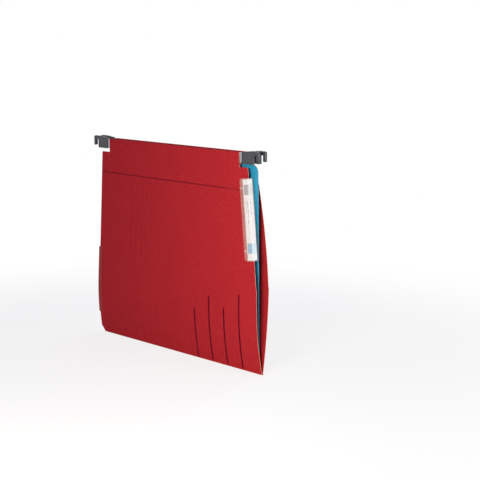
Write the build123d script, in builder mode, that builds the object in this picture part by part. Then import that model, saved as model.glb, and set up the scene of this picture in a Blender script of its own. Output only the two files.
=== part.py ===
# Lateral hanging file folder: a V of red card hung from two steel bars, with a rear gusset,
# a clear label holder on its front edge and a blue folder inside.
# Millimetres. X runs across the folder from the front cover to the back cover, Y from the
# open front edge to the rear gusset, Z up. The origin is midway between the four hook seats.
import math
import os

from build123d import *

os.makedirs("parts", exist_ok=True)

# Rails and bars
rail_spacing = 330.0
fold_overhang_length = 5.0
bar_gap = 13.0
bar_thickness = 1.5
bar_height = 12.0
bar_rise_height = 2.0
bar_clearance = 0.1
bar_corner_radius = 0.5

# Hooks on the bar ends
hook_thickness = 3.6
hook_wall_thickness = 4.0
hook_skin_thickness = 1.2
crown_height = 5.0
throat_width = 6.0
throat_depth = 8.0
throat_corner_radius = 0.5
hook_round_radius = 2.5
tip_round_radius = 1.5
socket_depth = 17.0
socket_clearance = 0.05

# Red card covers
card_thickness = 0.5
hang_height = 270.0
fold_radius = 1.1
fold_clearance = 0.2
front_curve_height = 78.0
back_bulge_depth = 10.2
rear_lean_angle = 3.8
front_lower_angle = 1.0
front_upper_angle = 5.85
lean_change_height = 107.0
edge_step_width = 0.7
corner_cut_length = 7.0
corner_cut_height = 8.0

# Hem that carries each bar, and its glued flap
hem_margin = 5.0
hem_bend_radius = 0.45
neck_height = 5.5
flap_length = 28.0
score_width = 0.9
score_depth = 0.15

# Slits that rise from the fold
slit_width = 2.4
slit_foot_height = 1.6
slit_inset = 35.0
slit_pitch = 29.4
slit_count = 4
long_slit_height = 95.0
short_slit_height = 75.0
slit_step_height = 9.5

# Rear gusset
tape_thickness = 0.3
glue_gap = 0.05
gusset_bottom_height = 28.0
gusset_top_height = 121.0
gusset_flap_width = 6.0
gusset_overhang_depth = 2.4
gusset_leaf_width = 24.0
gusset_steps = 4
crease_gap = 0.35

# Label holder, label and stickers
holder_drop_height = 12.5
holder_length = 101.0
holder_wall_thickness = 0.6
holder_gap = 0.05
side_pocket_depth = 2.4
front_pocket_depth = 0.7
label_width = 8.0
flange_width = 8.0
strip_width = 4.6
clip_depth = 6.5
flange_round_radius = 3.5
label_thickness = 0.3
label_margin = 0.3
label_clearance = 0.2
label_end_margin = 1.0
sticker_thickness = 0.1
sticker_height = 12.5
upper_sticker_gap = 7.5
lower_sticker_gap = 9.5
sticker_margin = 1.2

# Snap studs and caps
stud_shank_diameter = 2.2
stud_head_diameter = 3.8
stud_head_height = 1.0
stud_head_radius = 0.8
stud_hole_clearance = 0.1
stud_inset = 3.2
stud_end_inset = 12.0
cap_diameter = 4.6
cap_height = 1.5
cap_roof_thickness = 0.5
cap_clearance = 0.02
cap_round_radius = 0.4

# Blue inner folder
leaf_thickness = 0.4
leaf_pitch = 1.2
leaf_height = 246.0
leaf_tilt_angle = 0.5
leaf_round_radius = 9.0
leaf_foot_gap = 1.0
lift_clearance = 0.7
spine_height = 9.0
inner_inset = 7.1
tab_recess_depth = 4.0
tab_height = 55.0
tab_flat_height = 20.0
gusset_gap = 2.0

# Places worked out from the sizes above
front_x = -bar_gap / 2
back_x = bar_gap / 2
bar_offset = card_thickness / 2 + bar_clearance + bar_thickness / 2
front_bar_x = front_x + bar_offset
back_bar_x = back_x - bar_offset
hem_pitch = card_thickness + 2 * bar_clearance + bar_thickness
bar_bottom_z = bar_rise_height - bar_height
crest_z = bar_rise_height + bar_clearance + card_thickness
neck_z = bar_bottom_z - bar_clearance
glue_z = neck_z - neck_height
flap_end_z = glue_z - flap_length
fold_z = -hang_height
seat_y = rail_spacing / 2
fold_length = rail_spacing + 2 * fold_overhang_length
throat_inner_y = seat_y - throat_width / 2
throat_outer_y = seat_y + throat_width / 2
bar_end_y = throat_inner_y - hook_wall_thickness
socket_mouth_y = bar_end_y - socket_depth
hem_half = socket_mouth_y - hem_margin
hook_bottom_z = bar_bottom_z - hook_skin_thickness
spine_x = back_bar_x - hook_thickness / 2 - lift_clearance - (leaf_pitch + leaf_thickness) / 2
fold_x = spine_x
front_tip_y = -fold_length / 2
rear_tip_y = fold_length / 2
card_reach = 2 * fold_length
lowest_z = fold_z - 2 * fold_radius
side_plane = Plane.YZ.offset(-card_reach)
row_plane = Plane.XZ.offset(-card_reach)
hem_plane = Plane.XZ.offset(-hem_half)

# Arc that brings the front cover down into the fold, tangent to its upright part
front_run = fold_x - front_x
front_radius = (front_run**2 + front_curve_height**2) / (2 * front_run)
front_centre = (front_x + front_radius, fold_z + front_curve_height)
front_sweep = math.degrees(math.asin(front_curve_height / front_radius))

# Arc of the bowed back cover, from the fold to the foot of its hem
back_run = back_x - fold_x
back_climb = glue_z - fold_z
back_chord = math.hypot(back_run, back_climb)
back_radius = (back_chord**2 / 4 + back_bulge_depth**2) / (2 * back_bulge_depth)
back_centre = (
    (fold_x + back_x) / 2 + (back_bulge_depth - back_radius) * back_climb / back_chord,
    (fold_z + glue_z) / 2 - (back_bulge_depth - back_radius) * back_run / back_chord,
)


def tan(angle):
    return math.tan(math.radians(angle))


lean_change_z = fold_z + lean_change_height
lower_edge_top_y = front_tip_y + lean_change_height * tan(front_lower_angle)


def front_edge_y(z):
    # Front edge of the upper part, which stands back from the lower part by the edge step
    return lower_edge_top_y + edge_step_width + (z - lean_change_z) * tan(front_upper_angle)


def rear_edge_y(z):
    return rear_tip_y - (z - fold_z) * tan(rear_lean_angle)


def front_cover_x(z):
    drop = max(front_centre[1] - z, 0)
    return front_centre[0] - math.sqrt(front_radius**2 - drop**2)


def back_cover_x(z):
    return back_centre[0] + math.sqrt(back_radius**2 - (z - back_centre[1]) ** 2)


def back_angle(z, radius):
    return math.degrees(math.asin((z - back_centre[1]) / radius))


def span(first, second):
    # A rectangle between two opposite corners of the current sketch
    with Locations(((first[0] + second[0]) / 2, (first[1] + second[1]) / 2)):
        Rectangle(abs(second[0] - first[0]), abs(second[1] - first[1]))


def save(part, name):
    part.label = name
    export_step(part, f"parts/{name}.step")


# Heights of the gusset, and how far forward its inner crease lies
gusset_low_z = fold_z + gusset_bottom_height
gusset_high_z = fold_z + gusset_top_height


def crease_y(z):
    half_gap = (back_cover_x(z) - front_cover_x(z)) / 2
    return rear_edge_y(z) + gusset_overhang_depth - math.sqrt(gusset_leaf_width**2 - half_gap**2)


# Outline of a cover's panel from the side, with its two front slopes and its cut rear corner
with BuildSketch(side_plane) as cover_outline:
    with BuildLine():
        Polyline(
            (front_tip_y, lowest_z),
            (front_tip_y, fold_z),
            (lower_edge_top_y, lean_change_z),
            (front_edge_y(lean_change_z), lean_change_z),
            (front_edge_y(glue_z), glue_z),
            (rear_edge_y(glue_z), glue_z),
            (rear_edge_y(fold_z + corner_cut_height), fold_z + corner_cut_height),
            (rear_tip_y - corner_cut_length, fold_z),
            (rear_tip_y - corner_cut_length, lowest_z),
            close=True,
        )
    make_face()

# Planes of the label holder: across its section, and flat on the card beside it
edge_lean = math.radians(front_upper_angle)
holder_foot_z = glue_z - holder_drop_height - holder_length * math.cos(edge_lean)
holder_foot = (front_x, front_edge_y(holder_foot_z), holder_foot_z)
edge_up = (0, math.sin(edge_lean), math.cos(edge_lean))
edge_back = (0, math.cos(edge_lean), -math.sin(edge_lean))
holder_plane = Plane(origin=holder_foot, x_dir=(1, 0, 0), z_dir=edge_up)
flange_plane = Plane(origin=holder_foot, x_dir=edge_back, z_dir=(1, 0, 0))
flange_end = label_width + holder_wall_thickness + flange_width
base_face = card_thickness / 2 + holder_gap
stud_spots = [
    (flange_end - stud_inset, stud_end_inset),
    (flange_end - stud_inset, holder_length - stud_end_inset),
]


def hem(cover_x, side):
    # Section of the hem: over the bar, down its inner face and in to the top of the glued flap
    inner_x = cover_x + side * hem_pitch
    half = side * card_thickness / 2
    span((cover_x - half, glue_z - card_thickness), (cover_x + half, crest_z))
    span((cover_x - half, crest_z - card_thickness), (inner_x + half, crest_z))
    span((inner_x - half, neck_z), (inner_x + half, crest_z))
    Polygon(
        (inner_x + half, neck_z),
        (inner_x - half, neck_z),
        (cover_x + half, glue_z),
        (cover_x + 3 * half, glue_z),
        align=None,
    )


# Middle line of each cover, from the fold to the foot of its hem
with BuildLine() as front_line:
    CenterArc(front_centre, front_radius, 180 + front_sweep, -front_sweep)
    Line((front_x, front_centre[1]), (front_x, glue_z))
back_low = back_angle(fold_z, back_radius)
back_high = back_angle(glue_z, back_radius)
with BuildLine() as back_line:
    CenterArc(back_centre, back_radius, back_low, back_high - back_low)

# Front cover: upright card that curves into the fold, with the hem turned inwards over the bar
with BuildPart() as front_cover:
    with BuildSketch(row_plane):
        trace(front_line.line, line_width=card_thickness)
        with Locations((fold_x, fold_z)):
            Circle(fold_radius)
    extrude(amount=2 * card_reach)
    extrude(cover_outline.sketch, amount=2 * card_reach, mode=Mode.INTERSECT)
    with BuildSketch(hem_plane) as front_hem:
        span((front_x, flap_end_z), (front_x + 1.5 * card_thickness, glue_z))
        hem(front_x, 1)
        fillet(front_hem.vertices().group_by(Axis.Y)[-1], hem_bend_radius)
    extrude(amount=2 * hem_half)
    with BuildSketch(Plane.YZ.offset(fold_x)):
        for count in range(slit_count):
            slit_y = front_tip_y + slit_inset + count * slit_pitch
            full_height = short_slit_height if count % 2 else long_slit_height
            top = full_height - slit_step_height * (count // 2)
            with Locations((slit_y, fold_z + (slit_foot_height + top) / 2)):
                SlotOverall(top - slit_foot_height, slit_width, rotation=90)
    extrude(amount=-card_reach, mode=Mode.SUBTRACT)
    with BuildSketch(row_plane):
        with Locations((front_x - card_thickness / 2, flap_end_z)):
            Rectangle(2 * score_depth, score_width)
    extrude(amount=2 * card_reach, mode=Mode.SUBTRACT)
    with BuildSketch(flange_plane.offset(-bar_gap / 2)):
        with Locations(*stud_spots):
            Circle(stud_shank_diameter / 2 + stud_hole_clearance)
    extrude(amount=bar_gap, mode=Mode.SUBTRACT)
    # Wherever the glued flap would reach a cap, it is cut away round it
    with BuildSketch(flange_plane.offset(base_face)):
        with Locations(*stud_spots):
            Circle(cap_diameter / 2 + stud_hole_clearance)
    extrude(amount=cap_height, mode=Mode.SUBTRACT)
save(front_cover.part, "front_cover")

# Back cover: bowed card that hangs on the fold, with its own hem
lap_radius = back_radius - 0.75 * card_thickness
lap_low = back_angle(flap_end_z, lap_radius)
lap_high = back_angle(glue_z, lap_radius)
with BuildPart() as back_cover:
    with BuildSketch(row_plane):
        trace(back_line.line, line_width=card_thickness)
        with Locations((fold_x, fold_z)):
            Circle(fold_radius + fold_clearance, mode=Mode.SUBTRACT)
    extrude(amount=2 * card_reach)
    extrude(cover_outline.sketch, amount=2 * card_reach, mode=Mode.INTERSECT)
    with BuildSketch(hem_plane) as back_hem:
        with BuildLine():
            CenterArc(back_centre, lap_radius, lap_low, lap_high - lap_low)
        trace(line_width=1.5 * card_thickness)
        hem(back_x, -1)
        fillet(back_hem.vertices().group_by(Axis.Y)[-1], hem_bend_radius)
    extrude(amount=2 * hem_half)
save(back_cover.part, "back_cover")

# Steel bars in the two hems
bar_middle_z = (bar_rise_height + bar_bottom_z) / 2
for bar_name, bar_x in (("front_bar", front_bar_x), ("back_bar", back_bar_x)):
    with BuildPart() as bar:
        with BuildSketch(Plane.YZ.offset(bar_x)):
            with Locations((0, bar_middle_z)):
                RectangleRounded(2 * bar_end_y, bar_height, bar_corner_radius)
        extrude(amount=bar_thickness / 2, both=True)
    save(bar.part, bar_name)


def hook(bar_x, side):
    # Moulded hook on one bar end: side is -1 at the front rail and 1 at the rear rail
    tip_y = throat_outer_y + hook_wall_thickness
    corners = [
        (side * socket_mouth_y, hook_bottom_z),
        (side * throat_inner_y, hook_bottom_z),
        (side * throat_inner_y, 0),
        (side * throat_outer_y, 0),
        (side * throat_outer_y, -throat_depth),
        (side * tip_y, -throat_depth),
        (side * tip_y, crown_height),
        (side * bar_end_y, crown_height),
        (side * socket_mouth_y, bar_rise_height + hook_skin_thickness),
    ]
    rounds = [
        tip_round_radius,
        tip_round_radius,
        throat_corner_radius,
        throat_corner_radius,
        tip_round_radius,
        tip_round_radius,
        hook_round_radius,
        hook_round_radius,
        tip_round_radius,
    ]
    with BuildPart() as moulding:
        with BuildSketch(Plane.YZ.offset(bar_x)):
            with BuildLine():
                FilletPolyline(*corners, radius=rounds, close=True)
            make_face()
        extrude(amount=hook_thickness / 2, both=True)
        with BuildSketch(Plane.YZ.offset(bar_x)):
            with Locations((0, bar_middle_z)):
                RectangleRounded(
                    2 * (bar_end_y + socket_clearance),
                    bar_height + 2 * socket_clearance,
                    bar_corner_radius,
                )
        extrude(amount=bar_thickness / 2 + socket_clearance, both=True, mode=Mode.SUBTRACT)
    return moulding.part


save(hook(front_bar_x, -1), "front_bar_front_hook")
save(hook(front_bar_x, 1), "front_bar_rear_hook")
save(hook(back_bar_x, -1), "back_bar_front_hook")
save(hook(back_bar_x, 1), "back_bar_rear_hook")

# Gusset: each half grips the rear edge of its cover and folds inwards to the shared crease
channel = card_thickness + 2 * glue_gap
grip = channel + 2 * tape_thickness
loop_depth = gusset_overhang_depth - tape_thickness


def edge_band(near, far):
    # Outline from the side of a strip along the rear edge, between two distances behind it
    return [
        (rear_edge_y(gusset_low_z) + near, gusset_low_z),
        (rear_edge_y(gusset_low_z) + far, gusset_low_z),
        (rear_edge_y(gusset_high_z) + far, gusset_high_z),
        (rear_edge_y(gusset_high_z) + near, gusset_high_z),
    ]


def leaf_outline(z, cover_x, side):
    # One gusset leaf from above, from the cover's rear edge to the crease
    loop_y = rear_edge_y(z) + gusset_overhang_depth - tape_thickness / 2
    start = Vector(cover_x + side * (channel + tape_thickness) / 2, loop_y)
    crease_x = (front_cover_x(z) + back_cover_x(z)) / 2 - side * crease_gap
    end = Vector(crease_x, crease_y(z))
    across = (end - start).normalized().rotate(Axis.Z, 90) * (tape_thickness / 2)
    return [start + across, end + across, end - across, start - across]


def gusset_half(cover_line, cover_x, side):
    with BuildPart() as card_slot:
        with BuildSketch(row_plane):
            trace(cover_line.line, line_width=channel)
        extrude(amount=2 * card_reach)
        with BuildSketch(side_plane):
            with BuildLine():
                Polyline(*edge_band(-2 * gusset_flap_width, loop_depth), close=True)
            make_face()
        extrude(amount=2 * card_reach, mode=Mode.INTERSECT)
    with BuildPart() as half:
        with BuildSketch(row_plane):
            trace(cover_line.line, line_width=grip)
        extrude(amount=2 * card_reach)
        with BuildSketch(side_plane):
            with BuildLine():
                Polyline(*edge_band(-gusset_flap_width, gusset_overhang_depth), close=True)
            make_face()
        extrude(amount=2 * card_reach, mode=Mode.INTERSECT)
        add(card_slot.part, mode=Mode.SUBTRACT)
        for step in range(gusset_steps):
            z = gusset_low_z + (gusset_high_z - gusset_low_z) * step / (gusset_steps - 1)
            with BuildSketch(Plane.XY.offset(z)):
                with BuildLine():
                    Polyline(*leaf_outline(z, cover_x(z), side), close=True)
                make_face()
        loft(ruled=True)
    return half.part


save(gusset_half(front_line, front_cover_x, 1), "gusset_front_half")
save(gusset_half(back_line, back_cover_x, -1), "gusset_back_half")

# Label holder: clear sheet on the outside of the card and round its front edge, with a pocket
# that is open at its ends, a flange for the studs and a clip inside the card
base_back = base_face + holder_wall_thickness
window_face = base_back + side_pocket_depth
window_back = window_face + holder_wall_thickness
card_edge = holder_gap
edge_back_face = card_edge + holder_wall_thickness
edge_window_face = edge_back_face + front_pocket_depth
edge_window_back = edge_window_face + holder_wall_thickness
strip_end = strip_width + holder_wall_thickness
with BuildPart() as label_holder:
    with BuildSketch(holder_plane):
        span((-base_back, -edge_back_face), (-base_face, flange_end))
        span((-window_back, -edge_window_back), (-window_face, label_width + holder_wall_thickness))
        span((-window_back, label_width), (-base_face, label_width + holder_wall_thickness))
        span((-base_back, -edge_back_face), (strip_width, -card_edge))
        span((-window_back, -edge_window_back), (strip_end, -edge_window_face))
        span((strip_width, -edge_window_back), (strip_end, -card_edge))
        span((base_face, -edge_back_face), (base_back, clip_depth))
    extrude(amount=holder_length)
    flange_corners = label_holder.edges().filter_by(Axis.X).sort_by(Axis(holder_foot, edge_back))[-2:]
    fillet(flange_corners, flange_round_radius)
    with BuildSketch(flange_plane):
        with Locations(*stud_spots):
            Circle(stud_shank_diameter / 2 + stud_hole_clearance)
    extrude(amount=-window_back, mode=Mode.SUBTRACT)
save(label_holder.part, "label_holder")

# Label: white card bent round the same corner, loose in the pocket behind its window
label_face = window_face - label_clearance
edge_label_face = edge_window_face - label_clearance
label_end = label_width - label_margin
label_strip = strip_width - label_margin
with BuildPart() as label_insert:
    with BuildSketch(holder_plane.offset(label_end_margin)):
        span((-label_face, -edge_label_face), (label_thickness - label_face, label_end))
        span((-label_face, -edge_label_face), (label_strip, label_thickness - edge_label_face))
    extrude(amount=holder_length - 2 * label_end_margin)
save(label_insert.part, "label_insert")

# Two index stickers bent round the label's corner
sticker_feet = {
    "upper_index_sticker": holder_length - upper_sticker_gap - sticker_height,
    "lower_index_sticker": lower_sticker_gap,
}
for sticker_name, foot in sticker_feet.items():
    with BuildPart() as index_sticker:
        with BuildSketch(holder_plane.offset(foot)):
            span(
                (-label_face - sticker_thickness, -edge_label_face - sticker_thickness),
                (-label_face, label_end - sticker_margin),
            )
            span(
                (-label_face - sticker_thickness, -edge_label_face - sticker_thickness),
                (label_strip - sticker_margin / 2, -edge_label_face),
            )
        extrude(amount=sticker_height)
    save(index_sticker.part, sticker_name)

# Snap studs through flange and card, and the caps that hold them inside
stud_face = flange_plane.offset(-base_back)
shank_end = base_face + cap_height - cap_roof_thickness
with BuildPart() as snap_studs:
    with BuildSketch(stud_face):
        with Locations(*stud_spots):
            Circle(stud_shank_diameter / 2)
    extrude(amount=base_back + shank_end)
    with BuildSketch(stud_face):
        with Locations(*stud_spots):
            Circle(stud_head_diameter / 2)
    extrude(amount=-stud_head_height)
    head_rims = snap_studs.edges().filter_by(GeomType.CIRCLE).group_by(Axis.X)[0]
    fillet(head_rims, stud_head_radius)
save(snap_studs.part, "snap_studs")

with BuildPart() as snap_caps:
    with BuildSketch(flange_plane.offset(base_face)):
        with Locations(*stud_spots):
            Circle(cap_diameter / 2)
    extrude(amount=cap_height)
    cap_rims = snap_caps.edges().filter_by(GeomType.CIRCLE).group_by(Axis.X)[-1]
    fillet(cap_rims, cap_round_radius)
    with BuildSketch(flange_plane.offset(base_face)):
        with Locations(*stud_spots):
            Circle(stud_shank_diameter / 2 + cap_clearance)
    extrude(amount=cap_height - cap_roof_thickness + cap_clearance, mode=Mode.SUBTRACT)
save(snap_caps.part, "snap_caps")

# Blue inner folder, tilted a little, with its spine just above the fold
tilt = math.radians(leaf_tilt_angle)
spine_back = (0, math.cos(tilt), -math.sin(tilt))
spine_front_y = front_tip_y + inner_inset
lean_over_gusset = (gusset_top_height - spine_height) * math.tan(tilt)
leaf_rear_y = crease_y(gusset_high_z) - gusset_gap - lean_over_gusset
leaf_length = (leaf_rear_y - spine_front_y) / math.cos(tilt)
inner_origin = (spine_x, spine_front_y, fold_z + spine_height + leaf_length * math.sin(tilt))
leaf_plane = Plane(origin=inner_origin, x_dir=spine_back, z_dir=(1, 0, 0))
spine_radius = (leaf_pitch + leaf_thickness / 2) / 2
with BuildPart() as inner_folder_front_leaf:
    with BuildSketch(leaf_plane.offset(-leaf_pitch / 2)):
        with BuildLine():
            FilletPolyline(
                (tab_recess_depth, 0),
                (leaf_length, 0),
                (leaf_length, leaf_height),
                (0, leaf_height),
                (0, leaf_height - leaf_round_radius - tab_flat_height),
                (tab_recess_depth, leaf_height - tab_height),
                radius=[0, 0, leaf_round_radius, leaf_round_radius, 0, leaf_round_radius],
                close=True,
            )
        make_face()
    extrude(amount=leaf_thickness / 2, both=True)
    with BuildSketch(Plane(origin=inner_origin, z_dir=spine_back).offset(tab_recess_depth)):
        Circle(spine_radius)
    extrude(amount=leaf_length - tab_recess_depth)
save(inner_folder_front_leaf.part, "inner_folder_front_leaf")

with BuildPart() as inner_folder_back_leaf:
    with BuildSketch(leaf_plane.offset(leaf_pitch / 2)):
        with BuildLine():
            FilletPolyline(
                (0, leaf_foot_gap),
                (leaf_length, leaf_foot_gap),
                (leaf_length, leaf_height),
                (0, leaf_height),
                radius=[0, 0, leaf_round_radius, leaf_round_radius],
                close=True,
            )
        make_face()
    extrude(amount=leaf_thickness / 2, both=True)
save(inner_folder_back_leaf.part, "inner_folder_back_leaf")
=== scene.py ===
import math

import bmesh
import bpy
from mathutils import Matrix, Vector


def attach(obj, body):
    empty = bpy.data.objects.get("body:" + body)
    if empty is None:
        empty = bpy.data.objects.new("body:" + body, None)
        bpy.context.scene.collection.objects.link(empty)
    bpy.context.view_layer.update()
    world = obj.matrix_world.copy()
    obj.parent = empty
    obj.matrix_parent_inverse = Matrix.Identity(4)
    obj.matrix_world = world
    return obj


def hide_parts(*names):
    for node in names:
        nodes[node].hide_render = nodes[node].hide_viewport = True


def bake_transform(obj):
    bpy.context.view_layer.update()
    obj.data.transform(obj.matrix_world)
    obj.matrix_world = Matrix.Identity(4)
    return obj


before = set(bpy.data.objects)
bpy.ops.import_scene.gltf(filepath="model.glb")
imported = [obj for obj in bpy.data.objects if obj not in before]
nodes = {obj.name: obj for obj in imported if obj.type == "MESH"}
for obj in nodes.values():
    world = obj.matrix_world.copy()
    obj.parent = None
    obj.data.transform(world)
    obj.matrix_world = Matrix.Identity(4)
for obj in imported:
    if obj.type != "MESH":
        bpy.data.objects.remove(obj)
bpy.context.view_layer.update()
scene = bpy.context.scene
scene.view_settings.view_transform = "Standard"
mm = 0.001
print("frame loaded:", len(nodes), "nodes")


def hexColour(code):
    # sRGB hex to the linear values that shaders read
    shares = [int(code[i:i + 2], 16) / 255 for i in (0, 2, 4)]
    linear = [s / 12.92 if s <= 0.04045 else ((s + 0.055) / 1.055) ** 2.4 for s in shares]
    return (*linear, 1.0)


def addNode(tree, kind, settings={}, inputs={}):
    # A socket given as an input is linked, anything else becomes the input's value
    node = tree.nodes.new(kind)
    for key, value in settings.items():
        setattr(node, key, value)
    for socket, value in inputs.items():
        if isinstance(value, bpy.types.NodeSocket):
            tree.links.new(value, node.inputs[socket])
        else:
            node.inputs[socket].default_value = value
    return node


def startMaterial(name):
    material = bpy.data.materials.new(name)
    material.use_nodes = True
    tree = material.node_tree
    coords = addNode(tree, "ShaderNodeTexCoord")
    return material, tree, tree.nodes["Principled BSDF"], coords


# camera where the photograph was taken from
view = {"place": (-1.1160, -1.4388, 0.1553), "yaw": 40.45, "pitch": 8.67, "lens": 105.75, "sensor": 36.0}
cameraData = bpy.data.cameras.new("camera")
cameraData.lens = view["lens"]
cameraData.sensor_width = view["sensor"]
camera = bpy.data.objects.new("camera", cameraData)
yaw, pitch = math.radians(view["yaw"]), math.radians(view["pitch"])
forward = Vector((math.sin(yaw) * math.cos(pitch), math.cos(yaw) * math.cos(pitch), -math.sin(pitch)))
camera.location = view["place"]
camera.rotation_euler = forward.to_track_quat("-Z", "Y").to_euler()
scene.collection.objects.link(camera)
scene.camera = camera
print("camera set")


# Lines pressed into the front cover: one across below the hem, and a row that rises beside the rear edge
scores = {
    "acrossZ": -43.6, "acrossHalf": 0.7, "acrossDepth": 0.2, "firstY": 44.6, "pitch": 10.9, "count": 5,
    "levelZ": -110.0, "lean": 3.8, "lowZ": -153.0, "highZ": -50.0, "half": 0.6, "depth": 0.12,
}

# Front edge of the covers, and the foot of the label holder on it with the edge's own directions
edge = {
    "lean": 5.85, "cardX": -6.5, "stepY": -167.43, "stepZ": -163.0, "glueZ": -15.6,
    "drop": 12.5, "length": 101.0,
}
lean = math.radians(edge["lean"])
footZ = edge["glueZ"] - edge["drop"] - edge["length"] * math.cos(lean)
holderFoot = Vector((edge["cardX"], edge["stepY"] + (footZ - edge["stepZ"]) * math.tan(lean), footZ))
edgeUp = Vector((0, math.sin(lean), math.cos(lean)))
edgeBack = Vector((0, math.cos(lean), -math.sin(lean)))


def onEdge(across, back, up):
    # A place by the card's front edge, in metres
    return (holderFoot + Vector((across, 0, 0)) + edgeBack * back + edgeUp * up) * mm


# Dyed pressboard: calendered fibre board, matt, with a cloudy dye, paler flecks and short fibres in its face
def makePressboard():
    # the dark score colour is painted shade, standing in for the shade inside the pressed grooves
    look = {
        "dye": "B4232D", "cloud": "A71D2A", "fleck": "C8452A", "scoreGrooveShade": "740F1E", "worn": "C8552F",
        "cloudSize": 14.0, "fleckSize": 3.5, "fleckShare": 0.24, "fibreSize": 1.6,
        "scoreHalf": 0.5, "scoreFade": 0.8, "risingGrooveShade": 0.24, "dashFrom": -112.0, "dashPitch": 7.0,
        "wearTop": -269.6, "wearFoot": -270.6, "wearShare": 0.8,
    }
    material, tree, shader, coords = startMaterial("dyedPressboard")
    place = coords.outputs["Object"]
    cloud = addNode(tree, "ShaderNodeTexNoise", {}, {
        "Vector": place, "Scale": 1 / (look["cloudSize"] * mm), "Detail": 4.0, "Roughness": 0.6})
    dye = addNode(tree, "ShaderNodeMix", {"data_type": "RGBA"}, {
        0: cloud.outputs["Fac"], 6: hexColour(look["dye"]), 7: hexColour(look["cloud"])})
    # the paler fibres gather in flecks
    fleck = addNode(tree, "ShaderNodeTexNoise", {}, {
        "Vector": place, "Scale": 1 / (look["fleckSize"] * mm), "Detail": 2.0})
    fleckAmount = addNode(tree, "ShaderNodeMapRange", {}, {
        "Value": fleck.outputs["Fac"], "From Min": 0.4, "From Max": 0.7,
        "To Min": 0.0, "To Max": look["fleckShare"]})
    flecked = addNode(tree, "ShaderNodeMix", {"data_type": "RGBA"}, {
        0: fleckAmount.outputs["Result"], 6: dye.outputs[2], 7: hexColour(look["fleck"])})
    # real fibres are about 0.05 mm wide, drawn here at 1.6 mm so that they show
    fibre = addNode(tree, "ShaderNodeTexNoise", {}, {
        "Vector": place, "Scale": 1 / (look["fibreSize"] * mm), "Detail": 3.0, "Distortion": 1.2})
    speckle = addNode(tree, "ShaderNodeMapRange", {}, {
        "Value": fibre.outputs["Fac"], "From Min": 0.3, "From Max": 0.7, "To Min": 0.93, "To Max": 1.06})
    dyed = addNode(tree, "ShaderNodeMix", {"data_type": "RGBA", "blend_type": "MULTIPLY"}, {
        0: 1.0, 6: flecked.outputs[2], 7: speckle.outputs["Result"]})
    axes = addNode(tree, "ShaderNodeSeparateXYZ", {}, {0: place}).outputs
    onFront = addNode(tree, "ShaderNodeMath", {"operation": "LESS_THAN"}, {
        0: axes["X"], 1: edge["cardX"] * mm})
    # painted shade of the pressed score line below the hem, broken into dashes near the front edge, with gaps
    # of a third
    fromScore = addNode(tree, "ShaderNodeMath", {"operation": "SUBTRACT"}, {
        0: axes["Z"], 1: scores["acrossZ"] * mm})
    nearScore = addNode(tree, "ShaderNodeMath", {"operation": "ABSOLUTE"}, {0: fromScore.outputs[0]})
    onScore = addNode(tree, "ShaderNodeMapRange", {}, {
        "Value": nearScore.outputs[0], "From Min": look["scoreHalf"] * mm, "From Max": look["scoreFade"] * mm,
        "To Min": 1.0, "To Max": 0.0})
    dashes = addNode(tree, "ShaderNodeMath", {"operation": "PINGPONG"}, {
        0: axes["Y"], 1: look["dashPitch"] / 2 * mm})
    dashOn = addNode(tree, "ShaderNodeMath", {"operation": "GREATER_THAN"}, {
        0: dashes.outputs[0], 1: look["dashPitch"] / 6 * mm})
    behind = addNode(tree, "ShaderNodeMath", {"operation": "GREATER_THAN"}, {
        0: axes["Y"], 1: look["dashFrom"] * mm})
    unbroken = addNode(tree, "ShaderNodeMath", {"operation": "MAXIMUM"}, {
        0: dashOn.outputs[0], 1: behind.outputs[0]})
    # the rising lines take fainter painted groove shade, and lean with the rear edge
    slope = math.tan(math.radians(scores["lean"]))
    first = scores["firstY"] + scores["levelZ"] * slope
    spread = scores["pitch"] * (scores["count"] - 1)
    leaning = addNode(tree, "ShaderNodeMath", {"operation": "MULTIPLY_ADD"}, {
        0: axes["Z"], 1: slope, 2: axes["Y"]})
    fromFirst = addNode(tree, "ShaderNodeMath", {"operation": "SUBTRACT"}, {
        0: leaning.outputs[0], 1: first * mm})
    nearLine = addNode(tree, "ShaderNodeMath", {"operation": "PINGPONG"}, {
        0: fromFirst.outputs[0], 1: scores["pitch"] / 2 * mm})
    onLine = addNode(tree, "ShaderNodeMapRange", {}, {
        "Value": nearLine.outputs[0], "From Min": look["scoreHalf"] * mm, "From Max": look["scoreFade"] * mm,
        "To Min": look["risingGrooveShade"], "To Max": 0.0})
    inRow = addNode(tree, "ShaderNodeMath", {"operation": "COMPARE"}, {
        0: fromFirst.outputs[0], 1: spread / 2 * mm, 2: (spread + scores["pitch"]) / 2 * mm})
    inHeight = addNode(tree, "ShaderNodeMath", {"operation": "COMPARE"}, {
        0: axes["Z"], 1: (scores["lowZ"] + scores["highZ"]) / 2 * mm,
        2: (scores["highZ"] - scores["lowZ"]) / 2 * mm})
    # the painted groove shade goes on the front face only
    grooveShaded = dyed.outputs[2]
    for share, limits in ((onScore, [unbroken]), (onLine, [inRow, inHeight])):
        mask = share.outputs["Result"]
        for limit in (onFront, *limits):
            mask = addNode(tree, "ShaderNodeMath", {"operation": "MULTIPLY"}, {
                0: mask, 1: limit.outputs[0]}).outputs[0]
        grooveShaded = addNode(tree, "ShaderNodeMix", {"data_type": "RGBA"}, {
            0: mask, 6: grooveShaded, 7: hexColour(look["scoreGrooveShade"])}).outputs[2]
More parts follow.
